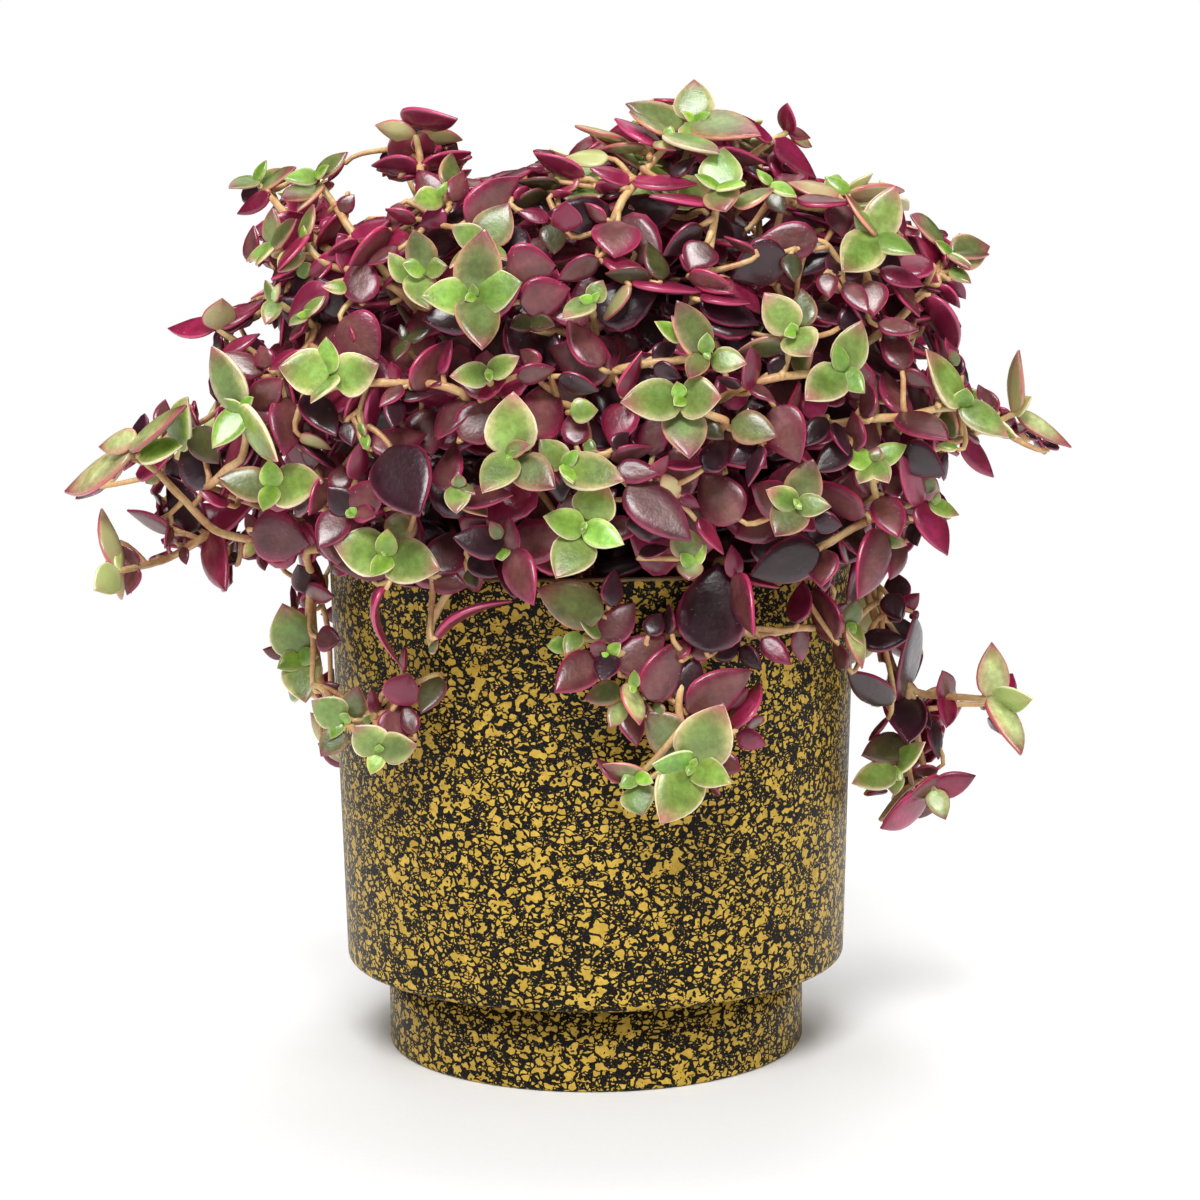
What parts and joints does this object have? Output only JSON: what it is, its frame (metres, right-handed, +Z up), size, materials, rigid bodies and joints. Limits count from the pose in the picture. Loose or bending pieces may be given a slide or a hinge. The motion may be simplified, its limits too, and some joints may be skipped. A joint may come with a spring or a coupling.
{
  "type": "potted succulent",
  "caption": "Bushy trailing succulent with small pointed fleshy leaves in opposite pairs, green to dark purple, spilling over a stepped speckled ceramic pot.",
  "frame": {"origin": "on the pot's axis, in the plane the pot stands on", "axes": "+Z up along the pot's axis; the pictured side faces -Y; +X is to the right seen from there"},
  "size_m": [0.2355, 0.1972, 0.2317],
  "materials": {
    "pot_glaze": "satin charcoal-black glaze with dense mustard-gold speckle and a thin bare pale-brown rim edge",
    "soil": "matt, crumbly dark brown bark compost",
    "foliage": "satin fleshy leaves, young ones green with cream edges, old ones mauve brown to dark purple with magenta edges, on tan stems"
  },
  "bodies": {
    "root": {"pot": "pot_glaze", "soil": "soil", "shoot_front_01": "foliage", "shoot_front_02": "foliage", "shoot_front_03": "foliage", "shoot_front_04": "foliage", "shoot_front_05": "foliage", "shoot_front_06": "foliage", "shoot_front_07": "foliage", "shoot_front_08": "foliage", "shoot_front_09": "foliage", "shoot_front_10": "foliage", "shoot_front_11": "foliage", "shoot_front_12": "foliage", "shoot_front_13": "foliage", "shoot_front_14": "foliage", "shoot_front_15": "foliage", "shoot_front_16": "foliage", "shoot_front_17": "foliage", "shoot_front_18": "foliage", "shoot_front_19": "foliage", "shoot_front_20": "foliage", "shoot_front_21": "foliage", "shoot_front_22": "foliage", "shoot_front_23": "foliage", "shoot_front_24": "foliage", "shoot_front_25": "foliage", "shoot_front_26": "foliage", "shoot_front_27": "foliage", "shoot_front_28": "foliage", "shoot_front_29": "foliage", "shoot_front_30": "foliage", "shoot_front_31": "foliage", "shoot_front_32": "foliage", "shoot_front_33": "foliage", "shoot_front_34": "foliage", "shoot_front_35": "foliage", "shoot_front_36": "foliage", "shoot_rear_01": "foliage", "shoot_rear_02": "foliage", "shoot_rear_03": "foliage", "shoot_rear_04": "foliage", "shoot_rear_05": "foliage", "shoot_rear_06": "foliage", "shoot_rear_07": "foliage", "shoot_rear_08": "foliage", "shoot_rear_09": "foliage", "shoot_rear_10": "foliage", "shoot_crown_01": "foliage", "shoot_crown_02": "foliage", "shoot_crown_03": "foliage", "shoot_crown_04": "foliage", "shoot_crown_05": "foliage", "shoot_crown_06": "foliage", "shoot_crown_07": "foliage", "shoot_crown_08": "foliage", "shoot_crown_09": "foliage", "shoot_crown_10": "foliage"}
  },
  "joints": []
}
